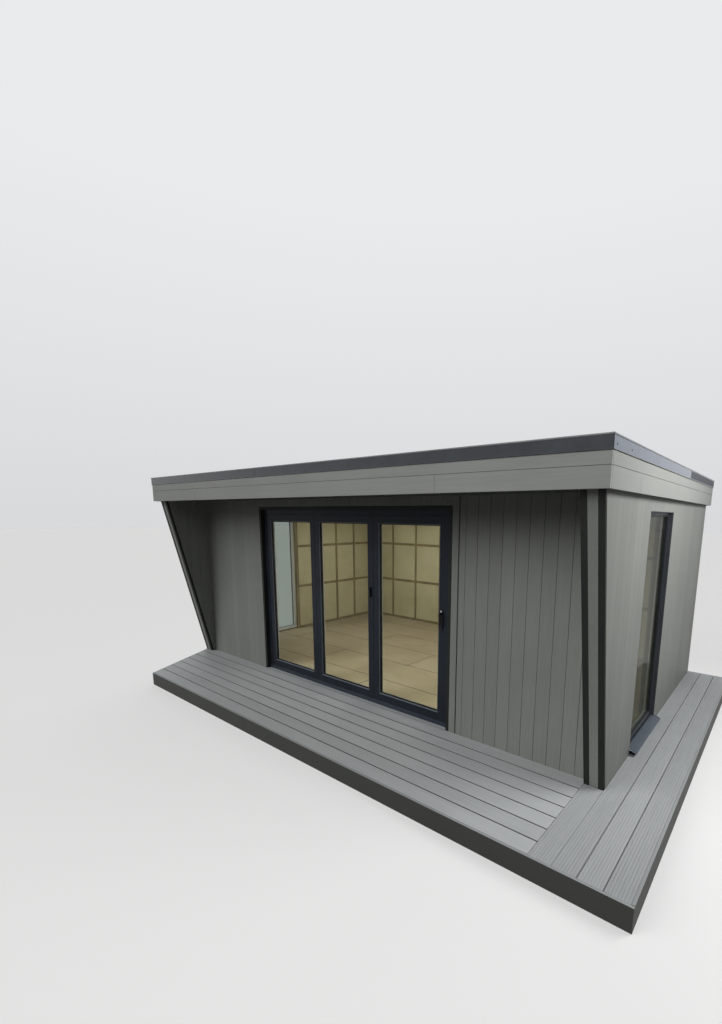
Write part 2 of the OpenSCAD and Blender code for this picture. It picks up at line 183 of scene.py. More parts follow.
x_left = box("left_wall_front")[0][0]
x_right = box("right_wall_front")[1][0]
y_front = box("front_wall_left")[0][1]
y_back = box("back_wall")[1][1]
z_deck = box("deck_front_boards")[1][2]
z_soffit = box("soffit_board")[0][2]
z_wall = box("front_wall_left")[1][2]
skin_t = box("front_wall_left")[1][1] - y_front
floor_top = box("floor_boards")[1][2]
wing_tip = box("right_wing_bars")[0][1]
wing_foot_z = box("right_wing")[0][2]
win_low, win_high = box("window_frame_right")
win_y0, win_y1, win_top = win_low[1], win_high[1], win_high[2]
door_low, door_high = box("door_liner")
roof_low, roof_high = box("roof_panel")
wall_x = {1: x_right, -1: x_left}
WORD = {1: "right", -1: "left"}


# Shapes

def rest_of(axis):
    """The two other axes, in order."""
    return [i for i in range(3) if i != axis]


def skin(rings, loop=False):
    """Tubes as (vertices, faces, tones). rings is (tubes, stations, around, 3).

    Each face joins two neighbours of a ring to the same two of the next. One flat face closes each end,
    unless the stations form a loop. Every tube gets one tone between 0 and 1.
    """
    count, stations, around, _ = rings.shape
    index = np.arange(count * stations * around).reshape(count, stations, around)
    here = index if loop else index[:, :-1]
    ahead = np.roll(index, -1, axis=1) if loop else index[:, 1:]
    quads = np.stack([here, np.roll(here, -1, 2), np.roll(ahead, -1, 2), ahead], axis=-1)
    faces = quads.reshape(-1, 4).tolist()
    if not loop:
        faces += index[:, 0, ::-1].tolist() + index[:, -1].tolist()
    tone = np.repeat(tones.random(count), stations * around)
    return rings.reshape(-1, 3), faces, tone


def extrude(outlines, low, high, axis):
    """Prisms: each outline fills the two other axes, and runs from low to high along axis.

    low and high are numbers, or a number for each point, which cuts the ends askew.
    """
    count, around, _ = outlines.shape
    rings = np.zeros((count, 2, around, 3))
    u, v = rest_of(axis)
    rings[..., u] = outlines[:, None, :, 0]
    rings[..., v] = outlines[:, None, :, 1]
    rings[:, 0, :, axis] = low
    rings[:, 1, :, axis] = high
    return skin(rings)


def rect(u0, v0, u1, v1):
    """Outline of a rectangle between two corners."""
    return np.array([[[u0, v0], [u1, v0], [u1, v1], [u0, v1]]])


def arc(centre_u, centre_v, radius, start, end, steps=4):
    """Points of a circle from one angle to another, in quarter turns."""
    angle = np.linspace(start, end, steps) * np.pi / 2
    return np.stack([centre_u + radius * np.cos(angle), centre_v + radius * np.sin(angle)], axis=-1)


def board_outlines(spans, face, out, thick, gap, ease):
    """Outlines of boards, as (place along the wall, depth), with square backs and rounded front edges.

    Each span loses half a gap at both ends. The fronts lie at face and look along out (1 or -1). At both
    ends of a span an outline has a back corner, and a quarter circle of radius ease at the front.
    """
    right = np.vstack([[0, 0], arc(-ease, thick - ease, ease, 0, 1)])
    left = np.vstack([arc(ease, thick - ease, ease, 1, 2), [0, 0]])
    low, high = np.hsplit(np.asarray(spans, float) + [gap / 2, -gap / 2], 2)
    place = np.hstack([high + right[:, 0], low + left[:, 0]])
    depth = face - out * (thick - np.append(right[:, 1], left[:, 1]))
    return np.stack([place, np.broadcast_to(depth, place.shape)], axis=-1)


def runs(start, end, pitch):
    """Spans from start towards end at the pitch; the last one is cut to fit."""
    count = max(1, math.ceil(abs(end - start) / pitch - 1e-6))
    edges = start + math.copysign(pitch, end - start) * np.arange(count + 1)
    edges[-1] = end
    return np.sort(np.stack([edges[:-1], edges[1:]], axis=1), axis=1)


def wall_boards(spans, low, high, face, out, axis, thick=BOARD_T, gap=BOARD_GAP, ease=BOARD_EASE):
    """Upright boards whose fronts lie at face on an axis and look along out (1 or -1).

    low and high are heights, or functions of the place along the wall.
    """
    plan = board_outlines(spans, face, out, thick, gap, ease)
    low, high = (end(plan[..., 0]) if callable(end) else end for end in (low, high))
    return extrude(plan[..., ::-1] if axis == 0 else plan, low, high, 2)


def mitred(profile, low, high, axis, open_foot=False):
    """Profile carried round the rectangle from low to high, mitred at the corners.

    A profile point is (inset from the rectangle's edges, place along axis). Each corner's ring lies half
    the rectangle's size less the inset from its middle. With open_foot there is no lower run, and both legs
    end square on the rectangle's lower edge.
    """
    u, v = rest_of(axis)
    inset, depth = np.asarray(profile, float).T
    closed, legs = [[-1, -1], [1, -1], [1, 1], [-1, 1]], [[-1, -1], [-1, 1], [1, 1], [1, -1]]
    signs = np.array(legs if open_foot else closed)
    middle, half = np.add(low, high) / 2, np.subtract(high, low) / 2
    rings = np.zeros((1, 4, len(inset), 3))
    for place, sign in ((u, signs[:, :1]), (v, signs[:, 1:])):
        rings[0, :, :, place] = middle[place] + sign * (half[place] - inset)
    if open_foot:
        rings[0, [0, 3], :, v] = low[v]
    rings[..., axis] = depth
    return skin(rings, loop=not open_foot)


def folded(path, thick):
    """Closed outline of a thin sheet bent along a path: the path, and back along its offset.

    Each offset point lies along the mean of its two neighbouring edges' normals.
    """
    path = np.asarray(path, float)
    edge = np.diff(path, axis=0)
    normal = np.stack([-edge[:, 1], edge[:, 0]], axis=-1) / np.linalg.norm(edge, axis=1)[:, None]
    mean = np.vstack([normal[:1], (normal[1:] + normal[:-1]) / 2, normal[-1:]])
    mean /= (mean ** 2).sum(axis=1)[:, None] ** 0.5
    return np.vstack([path, (path + mean * thick)[::-1]])


def pad(centre, half_u, half_v, depth, out, axis, ease, power=2.0):
    """Raised pad with a superellipse outline and a quarter-round rim.

    A point of the outline is half size times the sine or cosine to the power 2 / power. The rings go
    straight up to depth - ease, then draw in by ease as a quarter circle rises to depth.
    """
    angle = np.linspace(0, 2 * np.pi, 20, endpoint=False)
    turn = np.linspace(0, np.pi / 2, 4)
    lift = np.append(0, depth - ease + ease * np.sin(turn))
    draw = np.append(0, ease * (1 - np.cos(turn)))
    rings = np.zeros((1, len(lift), len(angle), 3))
    for place, half, wave in zip(rest_of(axis), (half_u, half_v), (np.cos(angle), np.sin(angle))):
        around = np.sign(wave) * np.abs(wave) ** (2 / power)
        rings[..., place] = centre[place] + np.outer(half - draw, around)
    rings[..., axis] = centre[axis] + out * lift[:, None]
    return skin(rings)


def add(name, data):
    """Puts a mesh, lamp or camera into the scene as a new object."""
    obj = bpy.data.objects.new(name, data)
    bpy.context.scene.collection.objects.link(obj)
    return obj


def piece(name, parts, material, replaces=(), angle=35):
    """One piece of the finished pod, from (vertices, faces, tones) parts.

    Edges where the faces turn by more than angle degrees stay sharp.
    """
    verts = np.concatenate([part[0] for part in parts])
    starts = np.cumsum([0] + [len(part[0]) for part in parts])
    faces = [[i + start for i in face] for part, start in zip(parts, starts) for face in part[1]]
    mesh = bpy.data.meshes.new(name)
    mesh.from_pydata(verts, [], faces)
    shape = bmesh.new()
    shape.from_mesh(mesh)
    bmesh.ops.recalc_face_normals(shape, faces=shape.faces)
    shape.to_mesh(mesh)
    shape.free()
    tone = mesh.attributes.new("tone", "FLOAT", "POINT")
    tone.data.foreach_set("value", np.concatenate([part[2] for part in parts]).astype(np.float32))
    mesh.shade_smooth()
    mesh.set_sharp_from_angle(angle=math.radians(angle))
    mesh.materials.append(material)
    obj = add(name, mesh)
    flat = obj.modifiers.new("flat_faces", "WEIGHTED_NORMAL")
    flat.keep_sharp = True
    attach(obj, "root")
    if replaces:
        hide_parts(*replaces)
    return obj


def soften(obj):
    """Rounds a piece's sharp edges."""
    bevel = obj.modifiers.new("soft_edges", "BEVEL")
    bevel.width = 0.001
    bevel.segments = 2
    bevel.limit_method = "ANGLE"
    bevel.angle_limit = math.radians(40)


# Materials

def srgb(red, green, blue):
    """Linear colour of an sRGB one, given from 0 to 255."""
    value = np.array([red, green, blue]) / 255
    linear = np.where(value <= 0.04045, value / 12.92, ((value + 0.055) / 1.055) ** 2.4)
    return (*linear, 1.0)


class Nodes:
    """A node tree, with short ways to add to it."""

    def __init__(self, tree):
        self.tree = tree

    def node(self, kind, inputs=(), **settings):
        """Adds a node, sets its properties, and fills or links its inputs in order."""
        made = self.tree.nodes.new("ShaderNode" + kind)
        for key, value in settings.items():
            setattr(made, key, value)
        for key, value in dict(inputs).items():
            if isinstance(value, bpy.types.NodeSocket):
                self.tree.links.new(value, made.inputs[key])
            else:
                made.inputs[key].default_value = value
        return made

    def math(self, operation, *values):
        """Outcome of a sum on one to three values."""
        return self.node("Math", dict(enumerate(values)), operation=operation).outputs[0]

    def place(self, stretch):
        """Object coordinates times a number, or times one for each axis."""
        where = self.node("TexCoord").outputs["Object"]
        return self.node("Mapping", {"Vector": where, "Scale": tuple(np.ones(3) * stretch)}).outputs[0]

    def noise(self, stretch, detail=3.0, rough=0.55):
        """Noise from 0 to 1 at stretch lumps per metre along each axis."""
        inputs = {"Vector": self.place(stretch), "Scale": 1.0, "Detail": detail, "Roughness": rough}
        return self.node("TexNoise", inputs).outputs[0]

    def tone(self):
        """The tone that each board of a piece has of its own."""
        return self.node("Attribute", attribute_name="tone").outputs["Fac"]

    def height(self, vector):
        """Part of a direction that points up."""
        return self.node("SeparateXYZ", {0: vector}).outputs["Z"]

    def span(self, value, low, high, to_low=0.0, to_high=1.0):
        """Value moved from one range to another, and kept in it."""
        inputs = {0: value, 1: low, 2: high, 3: to_low, 4: to_high}
        return self.node("MapRange", inputs).outputs[0]

    def sum(self, first, second, share=1.0):
        """first plus share times second."""
        return self.math("MULTIPLY_ADD", second, share, first)

    def mix(self, factor, first, second):
        """Colour between two others."""
        inputs = {0: factor, 6: first, 7: second}
        return self.node("Mix", inputs, data_type="RGBA").outputs[2]

    def between(self, factor, pair):
        """Colour between a pair of sRGB colours."""
        return self.mix(factor, srgb(*pair[0]), srgb(*pair[1]))

    def sees_backdrop(self):
        """1 for rays that show the floor and backdrop: camera, glossy and transmission rays."""
        path = self.node("LightPath").outputs
        both = self.math("MAXIMUM", path["Is Camera Ray"], path["Is Glossy Ray"])
        return self.math("MAXIMUM", both, path["Is Transmission Ray"])


class Finish(Nodes):
    """A material: one Principled shader and the nodes that feed it."""

    def __init__(self, name, **fixed):
        self.material = bpy.data.materials.new(name)
        self.material.use_nodes = True
        super().__init__(self.material.node_tree)
        self.shader = self.tree.nodes["Principled BSDF"]
        for socket, value in fixed.items():
            self.shader.inputs[socket.replace("_", " ")].default_value = value

    def feed(self, socket, value):
        """Links a value to one of the shader's sockets."""
        self.tree.links.new(value, self.shader.inputs[socket])

    def done(self, colour, rough, relief, height):
        """Links colour, roughness and a relief of a height in metres, and gives the material."""
        self.feed("Base Color", colour)
        self.feed("Roughness", rough)
        self.feed("Normal", self.node("Bump", {"Height": relief, "Distance": height}).outputs[0])
        return self.material


def grain(along, across=90.0, length=2.5):
    """Lumps per metre that make a pattern run along one axis."""
    return [length if axis == along else across for axis in range(3)]


def composite(name, pair, along, spread=0.5, top=None):
    """Wood and plastic board: long fibres, slow clouds and a tone of its own for each board.

    With top, a pair of colours too, the faces that look up take those and the other faces keep pair; where
    pair is darker, that is a painted shade on the sides.
    """
    made = Finish(name, Specular_IOR_Level=0.2)
    fibre = made.noise(grain(along), detail=5.0, rough=0.65)
    cloud = made.noise(1.7)
    level = made.sum(made.span(fibre, 0.25, 0.75), made.span(cloud, 0.3, 0.7), 0.5)
    level = made.sum(level, made.tone(), spread)
    level = made.span(level, 0.0, 1.5 + spread)
    colour = made.between(level, pair)
    if top:
        up = made.height(made.node("NewGeometry").outputs["Normal"])
        colour = made.mix(made.span(up, 0.6, 0.9), colour, made.between(level, top))
    return made.done(colour, made.span(fibre, 0.3, 0.7, 0.48, 0.66), fibre, 0.0005)


def coated(name, pair, rough, gloss=0.25, lumps=3.1, lacquer=0.0):
    """Powder coat or paint on metal: a fine orange peel, with faint wear in its gloss."""
    made = Finish(name, Specular_IOR_Level=gloss, Coat_Weight=lacquer, Coat_Roughness=0.12)
    peel = made.noise(900.0, detail=2.0)
    cloud = made.noise(lumps, detail=5.0, rough=0.65)
    colour = made.between(made.span(cloud, 0.3, 0.7), pair)
    return made.done(colour, made.span(cloud, 0.3, 0.75, rough - 0.06, rough + 0.08), peel, 0.00008)


def timber(name, pair, along):
    """Sawn softwood: wavy growth rings and fibres, stretched along the grain."""
    made = Finish(name)
    bend = made.noise(grain(along, 8.0, 0.7), detail=2.0)
    fibre = made.noise(grain(along, 160.0, 3.0), detail=4.0, rough=0.6)
    ring = made.math("SINE", made.math("MULTIPLY", made.sum(bend, fibre, 0.12), 26.0))
    level = made.sum(made.span(ring, -1.0, 1.0, 0.0, 0.6), fibre, 0.5)
    colour = made.between(made.span(level, 0.1, 1.0), pair)
    return made.done(colour, made.span(fibre, 0.3, 0.7, 0.6, 0.8), fibre, 0.0006)


def pressed(name, pair, panels=None, joint=None):
    """Pressed wood panel: fine flakes with a soft cloud of colour.

    With panels, a length and a width, lines of the joint's colour run between panels laid like bricks.
    """
    made = Finish(name, Specular_IOR_Level=0.25)
    flake = made.node("TexVoronoi", {"Vector": made.place(70.0), "Scale": 1.0}).outputs["Color"]
    flake = made.node("SeparateColor", {0: flake}).outputs[0]
    cloud = made.noise(2.3, detail=4.0, rough=0.6)
    level = made.sum(made.span(cloud, 0.25, 0.75), flake, 0.45)
    level = made.sum(level, made.tone(), 0.35)
    colour = made.between(made.span(level, 0.1, 1.6), pair)
    if panels:
        line = made.node("TexBrick", {
            "Vector": made.place(1.0), "Scale": 1.0, "Mortar Size": 0.006, "Mortar Smooth": 0.2,
            "Brick Width": panels[0], "Row Height": panels[1]}).outputs["Fac"]
        colour = made.mix(line, colour, srgb(*joint))
    return made.done(colour, made.span(flake, 0.0, 1.0, 0.55, 0.72), flake, 0.0002)


def rubber(name, pair):
    """Roof sheet and gaskets: matt rubber with dust and dried puddles."""
    made = Finish(name)
    dust = made.noise(1.1, detail=6.0, rough=0.65)
    fine = made.noise(60.0)
    level = made.sum(made.span(dust, 0.4, 0.7), fine, 0.3)
    colour = made.between(made.span(level, 0.1, 1.2), pair)
    return made.done(colour, made.span(dust, 0.3, 0.7, 0.55, 0.8), fine, 0.0004)


def glazing(name, tint):
    """Glass of a given tint, which lets the lamps' light through to the room."""
    made = Finish(name, Base_Color=(*tint, 1.0), Transmission_Weight=1.0, IOR=1.04,
                  Specular_IOR_Level=0.5, Coat_Weight=0.08, Coat_Roughness=0.0)
    smear = made.noise([2.0, 2.0, 0.8], detail=4.0)
    made.feed("Roughness", made.span(smear, 0.4, 0.8, 0.0, 0.03))
    clear = made.node("BsdfTransparent", {"Color": (*np.sqrt(tint), 1.0)})
    lamp = made.node("LightPath").outputs["Is Shadow Ray"]
    both = made.node("MixShader", {0: lamp, 1: made.shader.outputs[0], 2: clear.outputs[0]})
    made.tree.links.new(both.outputs[0], made.tree.nodes["Material Output"].inputs["Surface"])
    return made.material


# Pairs of sRGB colours, dark and light, from 0 to 255
CLADDING = (125, 127, 123), (148, 150, 145)
FASCIA = (150, 152, 148), (170, 172, 168)
SIDE_FASCIA = (142, 144, 140), (160, 162, 158)
# Soffit: the composite board written dark, a painted shade for the underside of the overhang
SOFFIT_PAINTED_SHADE = (58, 61, 60), (72, 75, 74)
DECK = (153, 156, 157), (183, 186, 187)
# Tops of the front planks: written lighter than the side deck, a painted light that offsets the shade under
# the porch
DECK_FRONT_LIT_TOPS = (169, 172, 173), (200, 203, 204)
# Sides and eased edges of the front planks: dark, a painted shade that makes the gaps between them read dark
DECK_GAP_SHADE = (62, 64, 65), (76, 78, 79)
# Upright faces of the deck's edge boards: written dark, a painted shade; their tops keep the pale pair below
EDGE = (62, 63, 60), (80, 81, 78)
EDGE_TOP = (146, 149, 149), (168, 171, 172)
FLOOR = (98, 98, 97), (178, 178, 177)

clad_up = composite("cladding_boards", CLADDING, along=2)
fascia_x = composite("fascia_boards_front", FASCIA, along=0, spread=0.2)
fascia_y = composite("fascia_boards_side", SIDE_FASCIA, along=1, spread=0.2)
# Soffit boards take the dark pair, a painted shade
soffit_painted_shade = composite("soffit_boards", SOFFIT_PAINTED_SHADE, along=0)
# Front planks: painted shade on their sides, painted light on their tops
deck_x_shade_and_light = composite("deck_boards_front", DECK_GAP_SHADE, along=0, spread=0.6, top=DECK_FRONT_LIT_TOPS)
deck_y = composite("deck_boards_side", DECK, along=1, spread=0.6)
# Edge boards: a painted shade on their upright faces
edge_x_face_shade = composite("deck_edge_front", EDGE, along=0, top=EDGE_TOP)
edge_y_face_shade = composite("deck_edge_side", EDGE, along=1, top=EDGE_TOP)
black_trim = coated("black_trim", ((42, 44, 42), (52, 54, 52)), 0.60, gloss=0.12)
frame_coat = coated("frame_powder_coat", ((34, 39, 46), (43, 49, 57)), 0.40, gloss=0.12)
# Door beads: the frame's slate written paler, a painted highlight of the sky on the sloping beads
bead_highlight_coat = coated("bead_painted_highlight_coat", ((86, 93, 101), (100, 107, 115)), 0.32, gloss=0.3)
window_bead = coated("window_bead_coat", ((36, 40, 45), (44, 48, 54)), 0.4)
inner_coat = coated("frame_inner_coat", ((196, 194, 186), (210, 208, 200)), 0.40)
roof_coat = coated("roof_trim_coat", ((38, 43, 50), (56, 61, 68)), 0.18, gloss=0.3, lumps=5.0, lacquer=0.6)
# Side lengths of the roof trim: the front ones written paler and bluer than the trim, a painted reflection
# of the sky; the back ones rougher and darker, a painted dim reflection
side_sky_reflection_coat = coated("roof_side_painted_sky_reflection", ((66, 78, 96), (88, 100, 118)), 0.18, gloss=0.3, lumps=5.0, lacquer=0.6)
dull_dim_reflection_coat = coated("roof_rear_painted_dim_reflection", ((58, 62, 66), (80, 84, 88)), 0.55, gloss=0.2, lumps=5.0)
# Rolled bead of the roof trim: the trim's own metal written pale, a painted highlight along its top
roof_bead = coated("roof_bead_painted_highlight", ((120, 122, 124), (150, 152, 154)), 0.30, gloss=0.6)
sill_coat = coated("sill_coat", ((68, 76, 87), (84, 92, 103)), 0.36)
# Reveal lining: written paler than the frame's slate, a painted light that offsets the shade in the reveal
lining_painted_light = coated("lining_painted_light", ((84, 88, 94), (96, 100, 106)), 0.42)
track_coat = coated("track_coat", ((48, 55, 65), (60, 67, 77)), 0.42)
spacer_coat = coated("reveal_coat", ((58, 61, 64), (70, 73, 76)), 0.42)
handle_coat = coated("handle_coat", ((12, 12, 13), (18, 18, 19)), 0.35)
# Pale steel: on the handle's cap a painted highlight; on the sill's cut ends bare metal, pale as a painted
# highlight too
steel_and_highlight = coated("pale_metal_painted_highlight", ((176, 179, 182), (204, 207, 210)), 0.25, gloss=0.6)
gasket = rubber("gasket_rubber", ((12, 12, 13), (20, 20, 21)))
roof_sheet = rubber("roof_rubber", ((44, 46, 48), (76, 78, 80)))
stud_wood = timber("stud_wood", ((112, 99, 68), (152, 136, 98)), along=2)
joist_wood = timber("joist_wood", ((84, 76, 56), (120, 110, 84)), along=0)
inner_sheet = pressed("inner_sheet", ((176, 167, 130), (214, 205, 168)))
floor_sheet = pressed("floor_sheet", ((152, 137, 106), (188, 173, 144)), (2.4, 0.6), joint=(68, 61, 48))
door_glass = glazing("door_glass", (0.93, 0.95, 0.94))
side_glass = glazing("side_window_glass", (0.60, 0.63, 0.60))


# Walls: upright boards outside, sheets of board inside

def wall(name, nodes, boards, sheets, face, out, axis, gap=BOARD_GAP):
    """Both layers of a wall, as lists of (spans, low, high): outer boards, then inner sheets behind."""
    outer = [wall_boards(*part, face, out, axis, gap=gap) for part in boards]
    piece(name + "_boards", outer, clad_up, nodes)
    laid = (face - out * BOARD_T, out, axis, skin_t - BOARD_T, SHEET_GAP, SHEET_EASE)
    inner = [wall_boards(*part, *laid) for part in sheets]
    piece(name + "_sheets", inner, inner_sheet, nodes)


def front_wall(side, gap):
    """Front wall beside the door: a strip along the door, then boards, and one board at the wing."""
    name = "front_wall_" + WORD[side]
    edge = side * door_high[0]
    strip = side * (door_high[0] + DOOR_STRIP)
    first = side * (x_right - WING_T - CORNER_BOARD)
    end = side * (x_right - WING_T)
    half_gap = STRIP_GAP / 2 if side > 0 else 0.0
    ends = ((edge, strip - half_gap), (first, strip + half_gap), (first, end))
    boards = [(runs(a, b, BOARD), z_deck, z_wall) for a, b in ends]
    wall(name, [name], boards, [(runs(edge, end, SHEET), z_deck, z_wall)], y_front, -1, 1, gap)


front_wall(-1, SIDE_GAP)
front_wall(1, BOARD_GAP)
over_door = [[(runs(door_low[0], door_high[0], pitch), door_high[2], z_wall)] for pitch in (BOARD, SHEET)]
wall("front_wall_head", ["front_wall_header"], *over_door, y_front, -1, 1)

# The back wall's outer boards also cover the ends of the side walls' sheets
back_low, back_high = box("back_wall")
wall("back_wall", ["back_wall"], [(runs(x_left + BOARD_T, x_right - BOARD_T, BOARD), back_low[2], z_wall)],
     [(runs(back_low[0], back_high[0], SHEET), back_low[2], z_wall)], y_back, 1, 1)

# A wing's raked edge leans out evenly from its foot at the deck to its tip at the soffit
foot_y = y_front - WING_FOOT
rake = (foot_y - wing_tip) / (z_soffit - z_deck)
leg_back = BAR_T + BAR_LEG
kink = foot_y + leg_back


def rake_y(z, back=0.0):
    """Place of the raked edge at a height, or of a line back from it: it falls evenly with the height."""
    return foot_y - rake * (z - z_deck) + back


def rake_z(y):
    """Height of the line behind the bars' legs, and of the wing's foot past its lower end."""
    return np.maximum(z_deck + (kink - y) / rake, wing_foot_z)


def side_wall(side):
    """Side wall with its wing. Board tops and feet are heights, or follow the raked edge or the soffit.

    The left wall reaches further down than its wing, so one board there fills the wing's foot.
    """
    name = WORD[side] + "_wall"
    foot = box(name + "_front")[0][2]

    def top(y):
        return np.where(y < y_front, z_soffit, z_wall)

    def at_window(pitch):
        spans = runs(win_y0, win_y1, pitch)
        return [(spans, win_top, z_wall), (spans, foot, floor_top)]

    if side > 0:
        boards = [(runs(kink, win_y0, BOARD), foot, top)]
    else:
        boards = [([[kink, y_front]], wing_foot_z, z_soffit), (runs(y_front, win_y0, BOARD), foot, z_wall)]
    boards += [(runs(kink, wing_tip + leg_back, BOARD), rake_z, z_soffit),
               (runs(win_y1, y_back, BOARD), foot, z_wall), *at_window(BOARD)]
    sheets = [(runs(win_y0, y_front, SHEET), foot, z_wall),
              (runs(win_y1, y_back - BOARD_T, SHEET), foot, z_wall), *at_window(SHEET)]
    wall(name, [name + "_front", name + "_back"], boards, sheets, wall_x[side], side, 0, SIDE_GAP)


side_wall(1)
side_wall(-1)


# Boards between the studs, which stop just short of their inner faces

def infill(name, stretches, face, out, axis):
    """Boards that fill the bays of a stud wall, from stud to stud and from plate to noggin.

    Each stretch has a stud at both ends and others at its pitch.
    """
    noggins = np.add.outer(z_deck + NOGGINS, [-STUD_T / 2, STUD_T / 2]).ravel()
    cuts = [floor_top + STUD_T, *noggins, z_wall - STUD_T]
    thick = STUD_D - INFILL_SET - FIT
    parts = []
    for low, high, pitch in stretches:
        studs = np.append(np.arange(low, high - 4 * STUD_T + 1e-6, pitch), high - STUD_T)
        spans = np.stack([studs[:-1] + STUD_T, studs[1:]], axis=1)
        for z0, z1 in zip(cuts[::2], cuts[1::2]):
            parts.append(wall_boards(spans, z0, z1, face, out, axis, thick, INFILL_GAP))
    piece(name, parts, inner_sheet)


room_x = x_right - skin_t - STUD_D
room_y = y_back - skin_t - STUD_D
side_runs = [(y_front + skin_t, win_y0, SIDE_PITCH), (win_y1, y_back - skin_t, SIDE_PITCH)]
for side in (1, -1):
    infill("infill_" + WORD[side], side_runs, side * (room_x + INFILL_SET), -side, 0)
infill("infill_back", [(-room_x, room_x, STUD_PITCH)], room_y + INFILL_SET, -1, 1)
infill("infill_front", [(-room_x, door_low[0], STUD_PITCH), (door_high[0], room_x, STUD_PITCH)],
       y_front + skin_t + STUD_D - INFILL_SET, 1, 1)


# Wings: boards on both faces of a core, and two bars with a strip between them on the raked edge

def raked(x_spans, front, back):
    """Straight pieces along the raked edge: a plan rectangle's points move by rake_y of their height."""
    outlines = np.vstack([rect(a, front, b, back) for a, b in x_spans])
    verts, faces, tone = extrude(outlines, wing_foot_z, z_soffit, 2)
    verts[:, 1] += rake_y(verts[:, 2])
    return verts, faces, tone


def wing(side):
    """One side wing: inner boards, the strip and core of its edge, and two bent bars with a leg each.

    The wall's own boards cover its outer face.
    """
    name = WORD[side] + "_wing"
    outer, inner = wall_x[side], wall_x[side] - side * WING_T
    spans = np.vstack([runs(kink, wing_tip + leg_back, BOARD), [[kink, y_front]]])
    boards = wall_boards(spans, rake_z, z_soffit, inner, -side, 0)
    piece(name + "_inner_boards", [boards], clad_up, [name])
    back = BAR_T + BOARD_T
    strip = raked([(outer - side * BAR_W, inner + side * BAR_W)], STRIP_SET, back)
    piece(name + "_edge_strip", [strip], clad_up, [name])
    outer_core, inner_core = outer - side * BOARD_T, inner + side * BOARD_T
    outline = np.array([[[y_front, wing_foot_z], [y_front, z_soffit],
                         [rake_y(z_soffit, back), z_soffit], [rake_y(wing_foot_z, back), wing_foot_z]]])
    piece(name + "_core", [extrude(outline, inner_core, outer_core, 0)], black_trim, [name])
    bars = [(outer, outer - side * BAR_W), (inner, inner + side * BAR_W)]
    legs = [(outer + side * LEG_T, outer_core), (inner - side * LEG_T, inner_core)]
    parts = [raked(bars, 0.0, BAR_T), raked(legs, FIT, leg_back)]
    soften(piece(name + "_edge_bars", parts, black_trim, [name + "_bars"]))


wing(1)
wing(-1)


# Roof: fascia boards, edge trim, rubber sheet and the boards under the overhang

fascia_low, fascia_high = box("fascia_front")
fascia_t = fascia_high[1] - fascia_low[1]
fascia_rows = [(fascia_low[2], fascia_low[2] + FASCIA_LOW),
               (fascia_low[2] + FASCIA_LOW + FASCIA_JOINT, roof_high[2])]
x0, y0 = box("fascia_left")[0][0], fascia_low[1]
x1, y1 = box("fascia_right")[1][0], box("fascia_back")[1][1]


def fascia(name, face, out, axis, start, end, origin, joints, material):
    """Two rows of flat boards on one side of the roof: an eased section carried from joint to joint.

    joints gives where each row's boards meet, from origin.
    """
    parts = []
    for row, places in zip(fascia_rows, joints):
        outline = board_outlines([row], face, out, fascia_t, 0.0, FASCIA_EASE)[..., ::-1]
        meets = [start, *(origin + place for place in places), end]
        for a, b in zip(meets[:-1], meets[1:]):
            parts.append(extrude(outline, a + FASCIA_JOINT / 2, b - FASCIA_JOINT / 2, 1 - axis))
    piece(name + "_boards", parts, material, [name])


fascia("fascia_front", y0, -1, 1, x0, x1, x_left, FRONT_JOINTS, fascia_x)
fascia("fascia_back", y1, 1, 1, x0, x1, x_left, BACK_JOINTS, fascia_x)
for side_name, side_x, side_out in (("fascia_right", x1, 1), ("fascia_left", x0, -1)):
    fascia(side_name, side_x, side_out, 0, y0 + fascia_t, y1 - fascia_t, y_front, SIDE_JOINTS, fascia_y)

# Section of the trim as (inset from the fascia's face, height): up its inner side, over the top, down the
# face, out to the drip and back under it
trim_low, trim_high = box("roof_trim_front")
lap = y0 - trim_low[1]
top, drip, kerb = trim_high[2], trim_low[2], roof_high[2]
face_in = TRIM_SET - lap
trim_profile = np.vstack([
    [[TRIM_W, kerb - 0.004]], arc(TRIM_W - 0.006, top - 0.010, 0.006, 0, 1),
    arc(face_in + 0.003, top - 0.007, 0.003, 1, 2, 3),
    [[face_in, drip + 0.008], [0.001 - lap, drip + 0.004]], arc(0.003 - lap, drip + 0.002, 0.002, 2, 3, 3),
    [[-0.001, drip + 0.002], [0.0, kerb - 0.004]],
])
trim_nodes = ["roof_trim_front", "roof_trim_left", "roof_trim_right", "roof_trim_back"]
bead = arc(BEAD_R - lap, top - BEAD_R, BEAD_R, 0, 3.8, 14)
trim, bead = (mitred(profile, [x0, y0, 0], [x1, y1, 0], 2) for profile in (trim_profile, bead))
piece("roof_edge_trim", [trim], roof_coat, trim_nodes, angle=50)
# The bead takes the pale coat, a painted highlight
piece("roof_edge_bead", [bead], roof_bead, trim_nodes)


def trim_lengths(name, edges, proud, start, end, along, coat):
    """Folded lengths of trim over two opposite edges of the roof, which stand proud of the trim below.

    Each is one bent section, carried straight from start to end along an axis.
    """
    line = np.array([[0.002, drip + 0.001], [-proud, drip + 0.010],
                     [-proud, top - 2 * BEAD_R - 0.003], [0.002, top - 2 * BEAD_R]])
    parts = []
    for edge, out in edges:
        outline = np.stack([edge - out * (face_in + line[:, 0]), line[:, 1]], axis=-1)[None]
        parts.append(extrude(outline, start, end, along))
    piece(name, parts, coat, trim_nodes)


